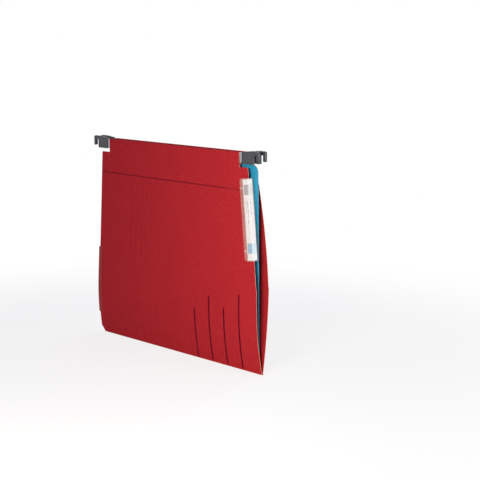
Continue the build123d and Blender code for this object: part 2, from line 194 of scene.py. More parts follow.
    # the fold's crest is rubbed a little paler
    rubbed = addNode(tree, "ShaderNodeMapRange", {}, {
        "Value": axes["Z"], "From Min": look["wearTop"] * mm, "From Max": look["wearFoot"] * mm,
        "To Min": 0.0, "To Max": look["wearShare"]})
    colour = addNode(tree, "ShaderNodeMix", {"data_type": "RGBA"}, {
        0: rubbed.outputs["Result"], 6: grooveShaded, 7: hexColour(look["worn"])})
    bump = addNode(tree, "ShaderNodeBump", {}, {
        "Height": fibre.outputs["Fac"], "Strength": 0.12, "Distance": 0.2 * mm})
    tree.links.new(colour.outputs[2], shader.inputs["Base Color"])
    tree.links.new(bump.outputs["Normal"], shader.inputs["Normal"])
    shader.inputs["Roughness"].default_value = 0.82
    shader.inputs["Specular IOR Level"].default_value = 0.12
    shader.inputs["IOR"].default_value = 1.5
    return material


# Cut pressboard: the knife shows the paler, less dyed core of the board
def makeCutEdge(name, pale, dark):
    look = {"grain": 0.8}
    material, tree, shader, coords = startMaterial(name)
    grain = addNode(tree, "ShaderNodeTexNoise", {}, {
        "Vector": coords.outputs["Object"], "Scale": 1 / (look["grain"] * mm), "Detail": 2.0})
    colour = addNode(tree, "ShaderNodeMix", {"data_type": "RGBA"}, {
        0: grain.outputs["Fac"], 6: hexColour(pale), 7: hexColour(dark)})
    tree.links.new(colour.outputs[2], shader.inputs["Base Color"])
    shader.inputs["Roughness"].default_value = 0.9
    shader.inputs["Specular IOR Level"].default_value = 0.15
    return material


# Paper backed linen: plain weave dyed brown red, threads running with the strip and across it
def makeLinen():
    look = {"warp": "AA3A38", "weft": "952A30", "thread": 1.4, "slub": 6.0, "weaveShare": 0.6}
    material, tree, shader, coords = startMaterial("paperBackedLinen")
    flat = coords.outputs["UV"]
    # threads are about 0.4 mm apart, drawn at 1.4 mm so that the weave shows; a wave's own period is pi / 10
    threads = []
    for direction in ("X", "Y"):
        wave = addNode(tree, "ShaderNodeTexWave", {"bands_direction": direction, "wave_profile": "SIN"}, {
            "Vector": flat, "Scale": math.pi / 10 / (look["thread"] * mm), "Distortion": 0.6, "Detail": 1.0})
        threads.append(wave.outputs["Fac"])
    weave = addNode(tree, "ShaderNodeMath", {"operation": "MULTIPLY"}, {0: threads[0], 1: threads[1]})
    slub = addNode(tree, "ShaderNodeTexNoise", {}, {
        "Vector": flat, "Scale": 1 / (look["slub"] * mm), "Detail": 3.0})
    shade = addNode(tree, "ShaderNodeMath", {"operation": "MULTIPLY_ADD"}, {
        0: weave.outputs[0], 1: look["weaveShare"], 2: slub.outputs["Fac"]})
    colour = addNode(tree, "ShaderNodeMix", {"data_type": "RGBA"}, {
        0: shade.outputs[0], 6: hexColour(look["weft"]), 7: hexColour(look["warp"])})
    bump = addNode(tree, "ShaderNodeBump", {}, {
        "Height": weave.outputs[0], "Strength": 0.3, "Distance": 0.15 * mm})
    tree.links.new(colour.outputs[2], shader.inputs["Base Color"])
    tree.links.new(bump.outputs["Normal"], shader.inputs["Normal"])
    shader.inputs["Roughness"].default_value = 0.85
    shader.inputs["Specular IOR Level"].default_value = 0.15
    shader.inputs["Sheen Weight"].default_value = 0.1
    return material


# Dyed folder card: smooth calendered card, satin, a little cloudy
def makeFolderCard():
    look = {"dye": "33A3C8", "cloud": "2795BC", "cloudSize": 18.0, "fibreSize": 1.4}
    material, tree, shader, coords = startMaterial("dyedFolderCard")
    place = coords.outputs["Object"]
    cloud = addNode(tree, "ShaderNodeTexNoise", {}, {
        "Vector": place, "Scale": 1 / (look["cloudSize"] * mm), "Detail": 4.0})
    # fibres of 0.03 mm are drawn at 1.4 mm so that they show
    fibre = addNode(tree, "ShaderNodeTexNoise", {}, {
        "Vector": place, "Scale": 1 / (look["fibreSize"] * mm), "Detail": 2.0})
    colour = addNode(tree, "ShaderNodeMix", {"data_type": "RGBA"}, {
        0: cloud.outputs["Fac"], 6: hexColour(look["dye"]), 7: hexColour(look["cloud"])})
    bump = addNode(tree, "ShaderNodeBump", {}, {
        "Height": fibre.outputs["Fac"], "Strength": 0.08, "Distance": 0.15 * mm})
    tree.links.new(colour.outputs[2], shader.inputs["Base Color"])
    tree.links.new(bump.outputs["Normal"], shader.inputs["Normal"])
    shader.inputs["Roughness"].default_value = 0.6
    shader.inputs["Specular IOR Level"].default_value = 0.2
    return material


# Moulded grey nylon: fine spark-eroded skin from the tool, soft gloss
def makeHookNylon():
    look = {"tone": "3B3D41", "mottle": "2F3135", "skin": 1.0, "flow": 9.0, "gloss": (0.37, 0.55)}
    material, tree, shader, coords = startMaterial("mouldedGreyNylon")
    place = coords.outputs["Object"]
    # the tool's skin is about 0.1 mm, drawn at 1 mm so that it shows
    skin = addNode(tree, "ShaderNodeTexNoise", {}, {
        "Vector": place, "Scale": 1 / (look["skin"] * mm), "Detail": 2.0})
    flow = addNode(tree, "ShaderNodeTexNoise", {}, {
        "Vector": place, "Scale": 1 / (look["flow"] * mm), "Detail": 3.0})
    colour = addNode(tree, "ShaderNodeMix", {"data_type": "RGBA"}, {
        0: flow.outputs["Fac"], 6: hexColour(look["tone"]), 7: hexColour(look["mottle"])})
    gloss = addNode(tree, "ShaderNodeMapRange", {}, {
        "Value": skin.outputs["Fac"], "To Min": look["gloss"][0], "To Max": look["gloss"][1]})
    bump = addNode(tree, "ShaderNodeBump", {}, {
        "Height": skin.outputs["Fac"], "Strength": 0.1, "Distance": 0.1 * mm})
    tree.links.new(colour.outputs[2], shader.inputs["Base Color"])
    tree.links.new(gloss.outputs["Result"], shader.inputs["Roughness"])
    tree.links.new(bump.outputs["Normal"], shader.inputs["Normal"])
    shader.inputs["IOR"].default_value = 1.53
    return material


# Natural nylon: moulded undyed, milky and half clear, so the card behind it shows through
def makeNaturalNylon():
    look = {"tint": "F6E6DC", "skin": 1.0, "gloss": (0.3, 0.5), "solidity": 0.4}
    material, tree, shader, coords = startMaterial("mouldedNaturalNylon")
    # the tool's skin is about 0.1 mm, drawn at 1 mm so that it shows
    skin = addNode(tree, "ShaderNodeTexNoise", {}, {
        "Vector": coords.outputs["Object"], "Scale": 1 / (look["skin"] * mm), "Detail": 2.0})
    gloss = addNode(tree, "ShaderNodeMapRange", {}, {
        "Value": skin.outputs["Fac"], "To Min": look["gloss"][0], "To Max": look["gloss"][1]})
    tree.links.new(gloss.outputs["Result"], shader.inputs["Roughness"])
    shader.inputs["Base Color"].default_value = hexColour(look["tint"])
    shader.inputs["Alpha"].default_value = look["solidity"]
    shader.inputs["IOR"].default_value = 1.53
    return material


# Zinc plated strip steel: drawn along its length, so the brush lines run with the bar
def makeSteel():
    look = {"bright": "B4B8BC", "dull": "8E9398", "line": 0.5, "streak": 40.0, "gloss": (0.25, 0.45)}
    material, tree, shader, coords = startMaterial("zincPlatedSteel")
    drawn = addNode(tree, "ShaderNodeMapping", {}, {
        "Vector": coords.outputs["Object"],
        "Scale": (1 / (look["line"] * mm), 1 / (look["streak"] * mm), 1 / (look["line"] * mm))})
    lines = addNode(tree, "ShaderNodeTexNoise", {}, {"Vector": drawn.outputs[0], "Scale": 1.0, "Detail": 3.0})
    colour = addNode(tree, "ShaderNodeMix", {"data_type": "RGBA"}, {
        0: lines.outputs["Fac"], 6: hexColour(look["bright"]), 7: hexColour(look["dull"])})
    gloss = addNode(tree, "ShaderNodeMapRange", {}, {
        "Value": lines.outputs["Fac"], "To Min": look["gloss"][0], "To Max": look["gloss"][1]})
    tree.links.new(colour.outputs[2], shader.inputs["Base Color"])
    tree.links.new(gloss.outputs["Result"], shader.inputs["Roughness"])
    shader.inputs["Metallic"].default_value = 1.0
    return material


# Clear PVC sheet: extruded, slightly hazy, with faint draw marks
def makeClearSheet(name, tint, solidity):
    look = {"mark": 1.5, "haze": (0.16, 0.26)}
    material, tree, shader, coords = startMaterial(name)
    marks = addNode(tree, "ShaderNodeTexNoise", {}, {
        "Vector": coords.outputs["Object"], "Scale": 1 / (look["mark"] * mm), "Detail": 1.0})
    haze = addNode(tree, "ShaderNodeMapRange", {}, {
        "Value": marks.outputs["Fac"], "To Min": look["haze"][0], "To Max": look["haze"][1]})
    tree.links.new(haze.outputs["Result"], shader.inputs["Roughness"])
    shader.inputs["Base Color"].default_value = hexColour(tint)
    shader.inputs["Alpha"].default_value = solidity
    shader.inputs["IOR"].default_value = 1.54
    return material


# Uncoated label card, laser printed with plain grey rules
def makeLabelCard():
    look = {"white": "EAEAE8", "cool": "E2E2E0", "ink": "848280", "fibre": 2.0, "dashFrom": 0.42,
            # each rule: on the side or the front, where across it, half width, from, to, dash length
            "rules": [("side", 4.5, 0.45, 60.0, 75.0, 4.0), ("side", 1.3, 0.45, 46.0, 76.0, 4.5),
                      ("front", -0.4, 0.35, 57.0, 76.0, 4.0)]}
    material, tree, shader, coords = startMaterial("printedLabelCard")
    place = coords.outputs["Object"]
    # fibres of 0.03 mm are drawn at 2 mm so that they show
    fibre = addNode(tree, "ShaderNodeTexNoise", {}, {
        "Vector": place, "Scale": 1 / (look["fibre"] * mm), "Detail": 2.0})
    paper = addNode(tree, "ShaderNodeMix", {"data_type": "RGBA"}, {
        0: fibre.outputs["Fac"], 6: hexColour(look["white"]), 7: hexColour(look["cool"])})
    foot = holderFoot * mm
    up, back = [addNode(tree, "ShaderNodeVectorMath", {"operation": "DOT_PRODUCT"}, {
        0: place, 1: direction}).outputs["Value"] for direction in (edgeUp, edgeBack)]
    across = addNode(tree, "ShaderNodeSeparateXYZ", {}, {0: place}).outputs["X"]
    colour = paper.outputs[2]
    for facet, at, half, low, high, dash in look["rules"]:
        measure, start = (back, foot.dot(edgeBack)) if facet == "side" else (across, foot.x)
        inLine = addNode(tree, "ShaderNodeMath", {"operation": "COMPARE"}, {
            0: measure, 1: at * mm + start, 2: half * mm})
        middle = (low + high) / 2 * mm + foot.dot(edgeUp)
        inRun = addNode(tree, "ShaderNodeMath", {"operation": "COMPARE"}, {
            0: up, 1: middle, 2: (high - low) / 2 * mm})
        dashes = addNode(tree, "ShaderNodeTexNoise", {"noise_dimensions": "1D"}, {
            "W": up, "Scale": 1 / (dash * mm), "Detail": 0.0})
        isDash = addNode(tree, "ShaderNodeMath", {"operation": "GREATER_THAN"}, {
            0: dashes.outputs["Fac"], 1: look["dashFrom"]})
        here = addNode(tree, "ShaderNodeMath", {"operation": "MULTIPLY"}, {
            0: inLine.outputs[0], 1: inRun.outputs[0]})
        mask = addNode(tree, "ShaderNodeMath", {"operation": "MULTIPLY"}, {
            0: here.outputs[0], 1: isDash.outputs[0]})
        colour = addNode(tree, "ShaderNodeMix", {"data_type": "RGBA"}, {
            0: mask.outputs[0], 6: colour, 7: hexColour(look["ink"])}).outputs[2]
    tree.links.new(colour, shader.inputs["Base Color"])
    shader.inputs["Roughness"].default_value = 0.75
    shader.inputs["Specular IOR Level"].default_value = 0.25
    return material


# Sticker paper with a screened tint; the narrow front facet gets paler tints than the side, painted light for
# the extra light and reflected veil falling on it
def makeStickerPaperLitFront(name, side, sideThin, front, litFrontThin):
    look = {"screen": 1.3, "bendX": -9.3}
    material, tree, shader, coords = startMaterial(name)
    screen = addNode(tree, "ShaderNodeTexVoronoi", {}, {
        "Vector": coords.outputs["Object"], "Scale": 1 / (look["screen"] * mm)})
    tints = [addNode(tree, "ShaderNodeMix", {"data_type": "RGBA"}, {
        0: screen.outputs["Distance"], 6: hexColour(tint), 7: hexColour(thin)})
        for tint, thin in ((side, sideThin), (front, litFrontThin))]
    across = addNode(tree, "ShaderNodeSeparateXYZ", {}, {0: coords.outputs["Object"]})
    # faces past the bend take the paler tints, painted light on the front facet
    onFront = addNode(tree, "ShaderNodeMath", {"operation": "GREATER_THAN"}, {
        0: across.outputs["X"], 1: look["bendX"] * mm})
    colour = addNode(tree, "ShaderNodeMix", {"data_type": "RGBA"}, {
        0: onFront.outputs[0], 6: tints[0].outputs[2], 7: tints[1].outputs[2]})
    tree.links.new(colour.outputs[2], shader.inputs["Base Color"])
    shader.inputs["Roughness"].default_value = 0.6
    shader.inputs["Specular IOR Level"].default_value = 0.3
    return material


pressboard = makePressboard()
cutBoard = makeCutEdge("cutPressboard", "EBAE98", "DE957D")
# dark red painted shade for the slits' walls and rims, drawn with the cut edge's grained shader
slitShadeBoard = makeCutEdge("slitShadePressboard", "8E1029", "800C23")
linen = makeLinen()
folderCard = makeFolderCard()
cutFolderCard = makeCutEdge("cutFolderCard", "7CC3DA", "5FB0CB")
hookNylon = makeHookNylon()
naturalNylon = makeNaturalNylon()
steel = makeSteel()
clearSheet = makeClearSheet("clearSheetPlastic", "F2F3F4", 0.1)
frostedSheet = makeClearSheet("frostedSheetPlastic", "F4DCCC", 0.14)
labelCard = makeLabelCard()
# the last two tints of each sticker are its front facet's painted light
greySticker = makeStickerPaperLitFront("greyStickerPaper", "9A979A", "A8A5A7", "D2D2D1", "DADAD9")
blueSticker = makeStickerPaperLitFront("blueStickerPaper", "78A8BE", "8CB8CB", "C0D9E2", "CBE1E9")
print("materials made")


def bend(radius, turn):
    return radius * abs(math.radians(turn)), turn


def walk(runs, distance):
    # Follows (length, turn) runs from 0, 0, first along +x, and gives the place after a distance
    x = y = heading = 0.0
    for length, turn in runs:
        part = max(0.0, min(distance, length))
        turned = math.radians(turn) * part / length
        if abs(turned) < 1e-9:
            x += part * math.cos(heading)
            y += part * math.sin(heading)
        else:
            radius = part / turned
            x += radius * (math.sin(heading + turned) - math.sin(heading))
            y += radius * (math.cos(heading) - math.cos(heading + turned))
        heading += turned
        distance -= part
    return x, y


def stationAt(runs, rise, limit):
    # Distance along the runs at which the sheet has climbed to a rise, found by halving
    low, high = 0.0, limit
    for halving in range(40):
        middle = (low + high) / 2
        if walk(runs, middle)[1] < rise:
            low = middle
        else:
            high = middle
    return (low + high) / 2


def bendStations(runs):
    # Where the runs meet, with the tight bends divided every 18 degrees or so
    tight = {"least": 5, "longest": 40, "step": 18}
    marks, reached = [], 0.0
    for length, turn in runs:
        isTight = abs(turn) >= tight["least"] and length <= tight["longest"]
        parts = max(2, round(abs(turn) / tight["step"])) if isTight else 1
        marks += [reached + length * i / parts for i in range(1, parts + 1)]
        reached += length
    return marks[:-1], reached


def cutAlong(bm, point, normal, faces=None):
    faces = faces if faces is not None else bm.faces[:]
    edges, verts = (e for f in faces for e in f.edges), (v for f in faces for v in f.verts)
    parts = dict.fromkeys([*faces, *edges, *verts])
    bmesh.ops.bisect_plane(bm, geom=list(parts), dist=1e-4, plane_co=point, plane_no=normal)


def cutRows(bm, stations, spacing, axis, low, high):
    # Cuts at the given stations, and between them wherever the spacing asks for one
    marks = [m for m in stations if low < m < high]
    steps = max(1, round((high - low) / spacing))
    plain = [low + (high - low) * i / steps for i in range(1, steps)]
    marks += [p for p in plain if all(abs(p - m) > spacing / 4 for m in stations)]
    normal = Vector((1, 0, 0)) if axis == 0 else Vector((0, 1, 0))
    for mark in sorted(marks):
        cutAlong(bm, normal * mark, normal)


def facesIn(bm, x, reach, low, high):
    # Faces of a flat sheet whose middles lie within a reach of x, and between low and high
    found = []
    for face in bm.faces:
        spot = face.calc_center_median()
        if abs(spot.x - x) < reach and low < spot.y < high:
            found.append(face)
    return found


def flatBlank(corners):
    # A sheet cut to its outline, still flat, in millimetres
    bm = bmesh.new()
    bm.faces.new([bm.verts.new((x, y, 0)) for x, y in corners])
    return bm


def roundCorner(bm, spot, radius, segments=6):
    corner = min(bm.verts, key=lambda v: (v.co.x - spot[0]) ** 2 + (v.co.y - spot[1]) ** 2)
    bmesh.ops.bevel(bm, geom=[corner], offset=radius, offset_type="OFFSET", affect="VERTICES",
                    segments=segments, profile=0.5, material=-1)


def roundEdges(bm, edges, radius, segments):
    bmesh.ops.bevel(bm, geom=edges, offset=radius, affect="EDGES",
                    segments=segments, profile=0.5, material=-1)


def raiseFlat(bm, height):
    # Turns a flat outline into a solid
    made = bmesh.ops.extrude_face_region(bm, geom=bm.faces[:], use_keep_orig=True)["geom"]
    raised = [g for g in made if isinstance(g, bmesh.types.BMVert)]
    bmesh.ops.translate(bm, vec=(0, 0, height), verts=raised)
    bmesh.ops.recalc_face_normals(bm, faces=bm.faces)


def mapFlat(bm, places=None):
    # Keeps the flat places, in metres, as the sheet's UV map
    uv = bm.loops.layers.uv.new("flat")
    for face in bm.faces:
        for loop in face.loops:
            loop[uv].uv = places[loop.vert] if places else (loop.vert.co.x * mm, loop.vert.co.y * mm)


def thicken(bm, thickness):
    # Half the thickness to each side of the folded sheet; gives back the faces of its cut edge
    bm.normal_update()
    number = bm.verts.layers.int.new("number")
    lifts = []
    for i, vert in enumerate(bm.verts):
        vert[number] = i
        lifts.append(vert.normal * thickness / 2)
    under = bm.faces[:]
    made = bmesh.ops.extrude_face_region(bm, geom=under, use_keep_orig=True)["geom"]
    over = {g for g in made if isinstance(g, bmesh.types.BMFace)}
    lifted = {g for g in made if isinstance(g, bmesh.types.BMVert)}
    for vert in bm.verts:
        vert.co += lifts[vert[number]] if vert in lifted else -lifts[vert[number]]
    bmesh.ops.reverse_faces(bm, faces=under)
    skins = over.union(under)
    return [f for f in bm.faces if f not in skins]


def makePiece(name, bm, materials, sharp=38):
    bmesh.ops.remove_doubles(bm, verts=bm.verts, dist=1e-7)
    bmesh.ops.recalc_face_normals(bm, faces=bm.faces)
    mesh = bpy.data.meshes.new(name)
    bm.to_mesh(mesh)
    bm.free()
    for material in materials:
        mesh.materials.append(material)
    mesh.polygons.foreach_set("use_smooth", [True] * len(mesh.polygons))
    mesh.set_sharp_from_angle(angle=math.radians(sharp))
    piece = bpy.data.objects.new(name, mesh)
    scene.collection.objects.link(piece)
    return piece


# Red covers: one card, cut flat, scored, slit and folded into a V with a hem over each bar
card = {
    "thickness": 0.5, "foldX": 2.1, "foldBottom": -270.85, "foldRadius": 0.85, "foldZ": -270.0,
    "frontTurn": 11.348, "frontRadius": 397.24, "frontRise": 193.9,
    "backLean": 9.4, "backTurn": 17.162, "backRadius": 848.0, "backRise": 18.193, "easeRadius": 6.0,
    "hemRadius": 0.45, "hemTop": 1.3, "hemDrop": 12.0, "neckTurn": 17.18, "neckRadius": 1.5, "neckRun": 5.25,
    "flap": 28.0, "frontTip": -170.0, "rearTip": 170.0, "stepLow": -168.13,
    "cornerRise": 8.0, "cornerRun": 7.0, "hemHalf": 136.0, "shoulderRadius": 2.0,
    "slitHalf": 0.7, "slitFoot": 1.6, "slitInset": 35.0, "slitPitch": 29.4, "slitShadeRim": 0.9,
    "slitMargin": 0.5,
    # heights of the slits, and cuts that let their ends be rounded
    "slitTops": [95.0, 75.0, 85.5, 65.5], "endCuts": [0.15, 0.4], "near": 0.01,
    # the card is never quite flat: a slow wave, in mm, that dies out towards fold and hem
    "wave": 0.25, "waveY": (0.021, 1.3), "waveZ": (0.017, 0.4), "waveFade": 60.0,
    "spacing": 6.0, "rubbed": 0.5,
}
hemRuns = [
    bend(card["hemRadius"], 90), (card["hemTop"], 0), bend(card["hemRadius"], 90), (card["hemDrop"], 0),
    bend(card["neckRadius"], card["neckTurn"]), (card["neckRun"], 0),
]
topLean = card["backTurn"] - card["backLean"]
flapTurn = math.degrees(card["flap"] / card["backRadius"])
frontRuns = [
    bend(card["foldRadius"], 90 - card["frontTurn"]), bend(card["frontRadius"], card["frontTurn"]),
    (card["frontRise"], 0), *hemRuns, bend(card["neckRadius"], -card["neckTurn"]), (card["flap"], 0),
]
backRuns = [
    bend(card["foldRadius"], 90 - card["backLean"]), bend(card["backRadius"], card["backTurn"]),
    bend(card["easeRadius"], -topLean), (card["backRise"], 0), *hemRuns,
    bend(card["neckRadius"], topLean - card["neckTurn"]), (card["flap"], -flapTurn),
]


def frontStation(z):
    return stationAt(frontRuns, z - card["foldBottom"], sum(r[0] for r in frontRuns[:3]))


def backStation(z):
    return stationAt(backRuns, z - card["foldBottom"], sum(r[0] for r in backRuns[:4]))


def frontCardX(z):
    return card["foldX"] - walk(frontRuns, frontStation(z))[0]


def backCardX(z):
    return card["foldX"] + walk(backRuns, backStation(z))[0]


def rearEdgeY(z):
    return card["rearTip"] - (z - card["foldZ"]) * math.tan(math.radians(scores["lean"]))


def halfOutline(station, end):
    # One cover's outline from the front tip round to the rear of the fold
    stepAt, glueAt = station(edge["stepZ"]), station(edge["glueZ"])
    frontTopY = edge["stepY"] + (edge["glueZ"] - edge["stepZ"]) * math.tan(lean)
    cornerZ = card["foldZ"] + card["cornerRise"]
    return [
        (card["stepLow"], stepAt), (edge["stepY"], stepAt), (frontTopY, glueAt), (-card["hemHalf"], glueAt),
        (-card["hemHalf"], end), (card["hemHalf"], end), (card["hemHalf"], glueAt),
        (rearEdgeY(edge["glueZ"]), glueAt), (rearEdgeY(cornerZ), station(cornerZ)),
    ]


def cutSlit(bm, y, low, high):
    # A slit that lets the fold spread, with rounded ends and a rim of painted shade
    half, rim = card["slitHalf"], card["slitHalf"] + card["slitShadeRim"]
    around = (y, 2 * card["spacing"], -high - card["spacing"], 0)
    for side in (-rim, -half, half, rim):
        cutAlong(bm, Vector((y + side, 0, 0)), Vector((1, 0, 0)), facesIn(bm, *around))
    for inset in (-card["slitShadeRim"], 0.0, *card["endCuts"], half):
        for s in (-low - inset, -high + inset):
            cutAlong(bm, Vector((0, s, 0)), Vector((0, 1, 0)), facesIn(bm, *around))
    bmesh.ops.delete(bm, geom=facesIn(bm, y, half, -high, -low), context="FACES")
    # the faces round each slit take the painted shade
    for face in facesIn(bm, y, rim, -high - card["slitShadeRim"], -low + card["slitShadeRim"]):
        face.material_index = 2
    for vert in bm.verts:
        toEnd = min(-vert.co.y - low, high + vert.co.y)
        if abs(abs(vert.co.x - y) - half) < card["near"] and -card["near"] < toEnd < half:
            width = math.sqrt(max(0.0, half ** 2 - (half - max(toEnd, 0.0)) ** 2))
            vert.co.x = y + math.copysign(width, vert.co.x - y)


def makeCovers():
    frontMarks, frontEnd = bendStations(frontRuns)
    backMarks, backEnd = bendStations(backRuns)
    front = [(u, -s) for u, s in halfOutline(frontStation, frontEnd)]
    back = halfOutline(backStation, backEnd)
    tip, heel = (card["frontTip"], 0), (card["rearTip"] - card["cornerRun"], 0)
    bm = flatBlank([tip, *front, heel, *reversed(back)])
    for spot in (front[2], front[7], back[2], back[7]):
        roundCorner(bm, spot, card["shoulderRadius"])
    # the knife leaves a narrow paler border along the cut
    sheet = bm.faces[:]
    border = bmesh.ops.inset_region(bm, faces=sheet, thickness=card["rubbed"], use_even_offset=True)["faces"]
    for face in border:
        face.material_index = 1
    scoreAt = -frontStation(scores["acrossZ"])
    marks = [0.0, scoreAt - scores["acrossHalf"], scoreAt, scoreAt + scores["acrossHalf"]]
    marks += [half[i][1] for half in (front, back) for i in (0, 2, 8)]
    marks += [*(-m for m in frontMarks), *backMarks]
    cutRows(bm, marks, card["spacing"], 1, -frontEnd, backEnd)
    cutRows(bm, [-card["hemHalf"], card["hemHalf"]], card["spacing"], 0, card["frontTip"], card["rearTip"])
    # faint rising score lines on the rear of the front cover
    linesLow, linesHigh = -frontStation(scores["lowZ"]), -frontStation(scores["highZ"])
    levelAt = -frontStation(scores["levelZ"])
    lineLean = math.radians(scores["lean"])
    acrossLine = Vector((math.cos(lineLean), -math.sin(lineLean), 0))
    lines = [scores["firstY"] + scores["pitch"] * i for i in range(scores["count"])]
    for line in lines:
        for shift in (-scores["half"], 0, scores["half"]):
            band = facesIn(bm, line, 3 * card["spacing"], linesHigh, linesLow)
            cutAlong(bm, Vector((line + shift, levelAt, 0)), acrossLine, band)
    slits = []
    for i, top in enumerate(card["slitTops"]):
        y = card["frontTip"] + card["slitInset"] + i * card["slitPitch"]
        low, high = frontStation(card["foldZ"] + card["slitFoot"]), frontStation(card["foldZ"] + top)
        cutSlit(bm, y, low, high)
        slits.append((y, high))
    bmesh.ops.remove_doubles(bm, verts=bm.verts, dist=card["near"] / 2)
    mapFlat(bm)
    for vert in bm.verts:
        y, s = vert.co.x, vert.co.y
        out, rise = walk(frontRuns if s < 0 else backRuns, abs(s))
        z = card["foldBottom"] + rise
        fromEnds = [(z - card["foldZ"]) / card["waveFade"], (edge["glueZ"] - z) / card["waveFade"]]
        height = card["wave"] * math.prod(min(1.0, max(0.0, share)) for share in fromEnds)
        (rateY, startY), (rateZ, startZ) = card["waveY"], card["waveZ"]
        ripple = height * math.sin(rateY * y + startY) * math.sin(rateZ * z + startZ)
        if s < 0:
            press = scores["acrossDepth"] * max(0.0, 1 - abs(s - scoreAt) / scores["acrossHalf"])
            if linesHigh < s < linesLow:
                shifted = y - (s - levelAt) * math.tan(lineLean)
                nearest = min(abs(shifted - line) for line in lines)
                press += scores["depth"] * max(0.0, 1 - nearest / scores["half"])
            x = card["foldX"] - out + press + ripple
        else:
            x = card["foldX"] + out + ripple
        vert.co = Vector((x, y, z)) * mm
    # the walls of the slits get painted shade, dark like their rims, every other cut is pale
    reach, margin = 1.5 * card["slitHalf"], card["slitMargin"]
    for face in thicken(bm, card["thickness"] * mm):
        spot = face.calc_center_median() / mm
        climb = spot.z - card["foldZ"]
        inSlit = any(abs(spot.y - y) < reach and margin < climb < high - margin for y, high in slits)
        face.material_index = 2 if inSlit and spot.x < card["foldX"] else 1
    covers = makePiece("foldedRedCovers", bm, [pressboard, cutBoard, slitShadeBoard])
    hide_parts("front_cover", "back_cover")
    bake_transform(covers)
    print("covers folded:", len(covers.data.polygons), "faces")


makeCovers()

# Rear gusset: a linen strip glued round both rear edges and creased inwards between them
gusset = {
    "thickness": 0.3, "low": -242.0, "high": -149.0, "levels": 24, "overhang": 2.4, "flapReach": 6.0,
    "leaf": 23.4, "creaseRadius": 0.5, "loopRadius": 0.5, "clear": 0.47, "divisions": [4, 12, 9, 5],
    "sharp": 70,
}


def gussetRuns(z):
    # The strip's half from the crease to the end of its glued flap, and where the crease lies
    frontX, backX = frontCardX(z), backCardX(z)
    reach = (backX - frontX) / 2 + gusset["clear"] - gusset["loopRadius"]
    lever = gusset["creaseRadius"] + gusset["loopRadius"]
    turn = math.acos(reach / math.hypot(gusset["leaf"], lever)) + math.atan2(lever, gusset["leaf"])
    depth = gusset["leaf"] * math.sin(turn) + lever * (1 - math.cos(turn))
    loopY = rearEdgeY(z) + gusset["overhang"] - gusset["thickness"] / 2
    flap = gusset["overhang"] - gusset["thickness"] / 2 - gusset["loopRadius"] + gusset["flapReach"]
    turnDegrees = math.degrees(turn)
    runs = [
        bend(gusset["creaseRadius"], turnDegrees), (gusset["leaf"], 0),
        bend(gusset["loopRadius"], -90 - turnDegrees), (flap, 0),
    ]
    return runs, (frontX + backX) / 2, loopY - depth


def makeGusset():
    bm = bmesh.new()
    divisions = gusset["divisions"]
    rows = sum(divisions)
    starts = [sum(divisions[:i]) for i in range(len(divisions))]
    bmesh.ops.create_grid(bm, x_segments=2 * rows, y_segments=gusset["levels"], size=1.0)
    flatPlaces = {}
    for vert in bm.verts:
        z = gusset["low"] + (gusset["high"] - gusset["low"]) * (vert.co.y + 1) / 2
        runs, creaseX, creaseY = gussetRuns(z)
        step = abs(vert.co.x) * rows
        side = -1 if vert.co.x < 0 else 1
        run = max(i for i, start in enumerate(starts) if step >= start - 1e-6)
        share = (step - starts[run]) / divisions[run]
        distance = sum(r[0] for r in runs[:run]) + share * runs[run][0]
        out, rear = walk(runs, distance)
        flatPlaces[vert] = (side * distance * mm, z * mm)
        vert.co = Vector((creaseX + side * out, creaseY + rear, z)) * mm
    mapFlat(bm, flatPlaces)
    thicken(bm, gusset["thickness"] * mm)
    strip = makePiece("linenGusset", bm, [linen], gusset["sharp"])
    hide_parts("gusset_front_half", "gusset_back_half")
    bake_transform(strip)
    width = 2 * sum(r[0] for r in gussetRuns((gusset["low"] + gusset["high"]) / 2)[0])


makeGusset()

# Blue folder: one card folded round its spine, its front leaf cut back below a tab
folder = {
    "thickness": 0.4, "spineX": 2.1, "spineY": -162.9, "spineZ": -261.0, "tilt": 0.5, "length": 302.68,
    "height": 246.0, "spineRadius": 0.6, "spineParts": 4, "tabRecess": 4.0,
    "tabHeight": 55.0, "tabFlat": 29.0, "cornerRadius": 9.0, "spacing": 7.0, "curl": 0.25, "curlFrom": 0.5,
}


def makeFolder():
    length = folder["length"]
    tilt = math.radians(folder["tilt"])
    along = Vector((0, math.cos(tilt), -math.sin(tilt)))
    upward = Vector((0, math.sin(tilt), math.cos(tilt)))
    origin = Vector((folder["spineX"], folder["spineY"], folder["spineZ"] + length * math.sin(tilt)))
    runs = [bend(folder["spineRadius"], 90), (folder["height"], 0)]
    spineHalf = runs[0][0]
    top = spineHalf + folder["height"]
    tabLow, tabHigh = top - folder["tabHeight"], top - folder["tabFlat"]
    corners = [
        (folder["tabRecess"], 0), (folder["tabRecess"], -tabLow), (0, -tabHigh), (0, -top),
        (length, -top), (length, top), (0, top), (0, 0),
    ]
    bm = flatBlank(corners)
    for spot in (corners[1], *corners[3:7]):
        roundCorner(bm, spot, folder["cornerRadius"])
    spine = [spineHalf * i / folder["spineParts"] for i in range(1, folder["spineParts"] + 1)]
    cutRows(bm, [0.0, *spine, *(-s for s in spine), -tabHigh], folder["spacing"], 1, -top, top)
    cutRows(bm, [folder["tabRecess"]], folder["spacing"], 0, 0, length)
    mapFlat(bm)
    for vert in bm.verts:
        u, s = vert.co.x, vert.co.y
        out, rise = walk(runs, abs(s))
        # the leaves curl together a little in their upper halves
        curl = max(0.0, rise / folder["height"] - folder["curlFrom"]) ** 2 * folder["curl"]
        side = -1 if s < 0 else 1
        spot = origin + along * u + upward * (rise - folder["spineRadius"])
        vert.co = (spot + Vector((side * (out - curl), 0, 0))) * mm
    for face in thicken(bm, folder["thickness"] * mm):
        face.material_index = 1
    piece = makePiece("foldedBlueFolder", bm, [folderCard, cutFolderCard])
    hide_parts("inner_folder_front_leaf", "inner_folder_back_leaf")
    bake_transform(piece)
    print("inner folder folded:", len(piece.data.polygons), "faces")


makeFolder()

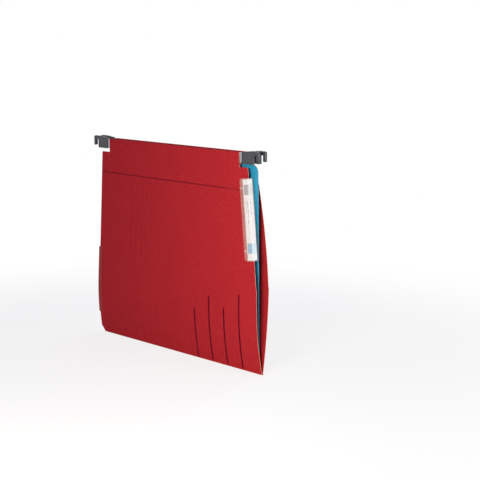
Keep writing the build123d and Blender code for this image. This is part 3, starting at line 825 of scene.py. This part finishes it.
# Label and its two stickers: strips bent round the front edge inside the holder
label = {
    "thickness": 0.3, "side": 7.7, "strip": 4.3, "across": 2.95, "front": 1.0,
    "bendRadius": 0.5, "bendParts": 5, "low": 1.0, "high": 100.0, "columns": 3.0, "rows": 6.0,
    "stickers": {"upperSticker": (81.0, 93.5), "lowerSticker": (9.5, 22.0)},
    "stickerThickness": 0.1, "stickerGap": 0.02, "stickerSide": 6.5, "stickerStrip": 3.7,
}


def wrapStrip(name, offset, side, strip, low, high, thickness, material):
    # A strip from its rear end forwards along the side, round the edge, and across the front
    radius = label["bendRadius"] + offset
    across, front = label["across"] + offset, label["front"] + offset
    runs = [(side + front - radius, 0), bend(radius, 90), (strip + across - radius, 0)]
    total = sum(r[0] for r in runs)
    bm = flatBlank([(0, low), (total, low), (total, high), (0, high)])
    marks = [runs[0][0] + runs[1][0] * i / label["bendParts"] for i in range(label["bendParts"] + 1)]
    cutRows(bm, marks, label["columns"], 0, 0, total)
    cutRows(bm, [], label["rows"], 1, low, high)
    mapFlat(bm)
    for vert in bm.verts:
        forwards, inwards = walk(runs, vert.co.x)
        vert.co = onEdge(inwards - across, side - forwards, vert.co.y)
    thicken(bm, thickness * mm)
    piece = makePiece(name, bm, [material])
    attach(piece, "label")
    return piece


labelStrip = wrapStrip("labelStrip", 0.0, label["side"], label["strip"], label["low"], label["high"],
                       label["thickness"], labelCard)
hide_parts("label_insert")
proud = (label["thickness"] + label["stickerThickness"]) / 2 + label["stickerGap"]
for name, node, slot, material in (
    ("upperSticker", "upper_index_sticker", "grey_sticker", greySticker),
    ("lowerSticker", "lower_index_sticker", "blue_sticker", blueSticker),
):
    low, high = label["stickers"][name]
    sticker = wrapStrip(name, proud, label["stickerSide"], label["stickerStrip"], low, high,
                        label["stickerThickness"], material)
    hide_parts(node)
print("label and stickers wrapped")

# Clear holder: extruded section with a pocket, rounded flange ends and a softened nose
holder = {
    "flangeEnd": 16.6, "flangeRadius": 3.5, "flangeParts": 8, "noseRadius": 0.9, "noseParts": 5,
    "windowEnd": 8.3, "windowX": -3.9, "frontEnd": -1.95, "near": 1e-4, "sharp": 30,
    "outer": [(-0.9, 16.6), (-0.9, 8.6), (-3.9, 8.6), (-3.9, -1.95), (5.2, -1.95), (5.2, -0.05), (0.9, -0.05),
              (0.9, 6.5), (0.3, 6.5), (0.3, -0.05), (-0.3, -0.05), (-0.3, 16.6)],
    "pocket": [(-3.3, 8.0), (-3.3, -1.35), (4.6, -1.35), (4.6, -0.65), (-0.9, -0.65), (-0.9, 8.0)],
}


def makeHolder():
    bm = bmesh.new()
    rims = []
    for loop in (holder["outer"], holder["pocket"]):
        verts = [bm.verts.new((x, v, 0)) for x, v in loop]
        rims += [bm.edges.new((verts[i], verts[i - 1])) for i in range(len(verts))]
    bmesh.ops.triangle_fill(bm, use_beauty=True, use_dissolve=True, edges=rims, normal=(0, 0, 1))
    raiseFlat(bm, edge["length"])
    ends = [e for e in bm.edges if all(abs(v.co.y - holder["flangeEnd"]) < holder["near"] for v in e.verts)
            and abs(e.verts[0].co.x - e.verts[1].co.x) > holder["near"]]
    roundEdges(bm, ends, holder["flangeRadius"], holder["flangeParts"])
    nose = [e for e in bm.edges
            if all(abs(v.co.x - holder["windowX"]) < holder["near"] for v in e.verts)
            and all(abs(v.co.y - holder["frontEnd"]) < holder["near"] for v in e.verts)]
    roundEdges(bm, nose, holder["noseRadius"], holder["noseParts"])
    for face in bm.faces:
        face.material_index = 1 if face.calc_center_median().y > holder["windowEnd"] else 0
    for vert in bm.verts:
        vert.co = onEdge(*vert.co)
    piece = makePiece("clearLabelHolder", bm, [clearSheet, frostedSheet], holder["sharp"])
    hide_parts("label_holder")
    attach(piece, "front")


makeHolder()
print("holder extruded")

# Hooks: moulded ends that press onto the bars
hooks = {
    "thickness": 3.6, "edge": 0.4, "edgeParts": 2, "cornerParts": 5, "rim": 0.8,
    "recess": 0.5, "recessSlope": 0.25, "mouthY": 141.0, "mouthRim": 0.6,
    "mouthDepth": 1.0, "mouthSlope": 0.05, "flat": 0.99, "near": 0.01, "sharp": 30,
    # outline seen from the side: distance from the middle, height, corner radius
    "outline": [(141, -11.2, 1.5), (162, -11.2, 1.5), (162, 0, 0.5), (168, 0, 0.5), (168, -8, 1.5),
                (172, -8, 1.5), (172, 5, 2.5), (158, 5, 2.5), (141, 3.2, 1.5)],
    "hooks": [("frontBarFrontHook", "front_bar_front_hook", "front", -5.4, -1),
              ("frontBarRearHook", "front_bar_rear_hook", "front", -5.4, 1),
              ("backBarFrontHook", "back_bar_front_hook", "back", 5.4, -1),
              ("backBarRearHook", "back_bar_rear_hook", "back", 5.4, 1)],
}


def mouldHook(name, node, body, barX, side):
    bm = flatBlank([(y, z) for y, z, radius in hooks["outline"]])
    for y, z, radius in hooks["outline"]:
        roundCorner(bm, (y, z), radius, hooks["cornerParts"])
    raiseFlat(bm, hooks["thickness"])
    cheeks = [f for f in bm.faces if abs(f.normal.z) > hooks["flat"]]
    outerRims = list(dict.fromkeys(e for f in cheeks for e in f.edges))
    roundEdges(bm, outerRims, hooks["edge"], hooks["edgeParts"])
    # each cheek is recessed inside a rim, and so is the mouth that takes the bar
    cheeks = [f for f in bm.faces if abs(f.normal.z) > hooks["flat"] and len(f.verts) > len(hooks["outline"])]
    bmesh.ops.inset_region(bm, faces=cheeks, thickness=hooks["rim"], use_even_offset=True)
    bmesh.ops.inset_region(bm, faces=cheeks, thickness=hooks["recessSlope"], depth=-hooks["recess"],
                           use_even_offset=True)
    mouth = [f for f in bm.faces if f.normal.x < -hooks["flat"]
             and abs(f.calc_center_median().x - hooks["mouthY"]) < hooks["near"]]
    bmesh.ops.inset_region(bm, faces=mouth, thickness=hooks["mouthRim"])
    bmesh.ops.inset_region(bm, faces=mouth, thickness=hooks["mouthSlope"], depth=-hooks["mouthDepth"])
    for vert in bm.verts:
        y, z, x = vert.co
        vert.co = Vector((barX - hooks["thickness"] / 2 + x, side * y, z)) * mm
    piece = makePiece(name, bm, [hookNylon], hooks["sharp"])
    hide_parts(node)
    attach(piece, body)


for hookPlace in hooks["hooks"]:
    mouldHook(*hookPlace)
print("hooks moulded")

# CAD pieces whose shape is right take their real finish
for node, material in (
    ("front_bar", steel), ("back_bar", steel), ("snap_studs", naturalNylon), ("snap_caps", naturalNylon),
):
    for materialSlot in nodes[node].material_slots:
        materialSlot.material = material

# Stage: a pale floor just under the fold that fades into white, a soft key to the left and fills all round
stage = {
    "floorZ": -0.2714, "floorSize": 3.0, "floor": "F4F3F1", "fadeFrom": 0.3, "fadeTo": 0.8, "floorWhite": 0.8,
    "sky": "CCD2FF", "skyLevel": 0.2,
    "lamps": {
        "key": {"place": (-0.55, -0.48, 0.06), "aim": (0.0, -0.12, -0.14), "size": 0.24, "power": 4.25,
                "colour": "FFF1E3"},
        "front": {"place": (0.45, -1.2, 0.1), "aim": (0.0, -0.16, -0.12), "size": 0.5, "power": 6.2,
                  "colour": "F8FDFF"},
        "fill": {"place": (-1.0, 0.7, 0.5), "aim": (0.0, 0.1, -0.14), "size": 1.0, "power": 1.4,
                 "colour": "A2B2FF"},
        "rear": {"place": (1.1, 0.5, 0.5), "aim": (0.0, 0.0, -0.14), "size": 1.0, "power": 8.0,
                 "colour": "F2F5FF"},
    },
}


def seenDirectly(tree):
    # 1 for the rays by which the camera sees, also in a mirror or through a clear piece
    rays = addNode(tree, "ShaderNodeLightPath").outputs
    seen = addNode(tree, "ShaderNodeMath", {"operation": "MAXIMUM"}, {
        0: rays["Is Camera Ray"], 1: rays["Is Glossy Ray"]})
    return addNode(tree, "ShaderNodeMath", {"operation": "MAXIMUM"}, {
        0: seen.outputs[0], 1: rays["Is Transmission Ray"]}).outputs[0]


def makeFloor():
    bm = bmesh.new()
    bmesh.ops.create_grid(bm, x_segments=1, y_segments=1, size=stage["floorSize"])
    bmesh.ops.translate(bm, vec=(0, 0, stage["floorZ"]), verts=bm.verts)
    material, tree, shader, coords = startMaterial("paleFloor")
    flatPlace = addNode(tree, "ShaderNodeVectorMath", {"operation": "MULTIPLY"}, {
        0: coords.outputs["Object"], 1: (1, 1, 0)})
    away = addNode(tree, "ShaderNodeVectorMath", {"operation": "LENGTH"}, {0: flatPlace.outputs[0]})
    solidity = addNode(tree, "ShaderNodeMapRange", {"interpolation_type": "SMOOTHSTEP"}, {
        "Value": away.outputs["Value"], "From Min": stage["fadeFrom"], "From Max": stage["fadeTo"],
        "To Min": 1.0, "To Max": 0.0})
    tree.links.new(solidity.outputs["Result"], shader.inputs["Alpha"])
    shader.inputs["Base Color"].default_value = hexColour(stage["floor"])
    shader.inputs["Roughness"].default_value = 0.9
    shader.inputs["Specular IOR Level"].default_value = 0.0
    # seen by the camera the floor is mostly white, and the rest of it takes the object's shadow
    glow = addNode(tree, "ShaderNodeEmission", {}, {"Color": (1, 1, 1, 1), "Strength": 1.0})
    share = addNode(tree, "ShaderNodeMath", {"operation": "MULTIPLY"}, {
        0: seenDirectly(tree), 1: stage["floorWhite"]})
    mixed = addNode(tree, "ShaderNodeMixShader", {}, {
        0: share.outputs[0], 1: shader.outputs[0], 2: glow.outputs[0]})
    tree.links.new(mixed.outputs[0], tree.nodes["Material Output"].inputs["Surface"])
    floor = makePiece("floor", bm, [material])


def addLamp(name, lamp):
    data = bpy.data.lights.new(name, "AREA")
    data.size = lamp["size"]
    data.energy = lamp["power"]
    data.color = hexColour(lamp["colour"])[:3]
    light = bpy.data.objects.new(name, data)
    light.location = lamp["place"]
    light.rotation_euler = (Vector(lamp["aim"]) - Vector(lamp["place"])).to_track_quat("-Z", "Y").to_euler()
    scene.collection.objects.link(light)


def makeWorld():
    world = bpy.data.worlds.new("studio")
    world.use_nodes = True
    scene.world = world
    tree = world.node_tree
    soft = addNode(tree, "ShaderNodeBackground", {}, {
        "Color": hexColour(stage["sky"]), "Strength": stage["skyLevel"]})
    white = addNode(tree, "ShaderNodeBackground", {}, {"Color": (1, 1, 1, 1), "Strength": 1.0})
    mixed = addNode(tree, "ShaderNodeMixShader", {}, {
        0: seenDirectly(tree), 1: soft.outputs[0], 2: white.outputs[0]})
    tree.links.new(mixed.outputs[0], tree.nodes["World Output"].inputs["Surface"])


makeFloor()
for lampName, lamp in stage["lamps"].items():
    addLamp(lampName, lamp)
makeWorld()
print("stage lit")
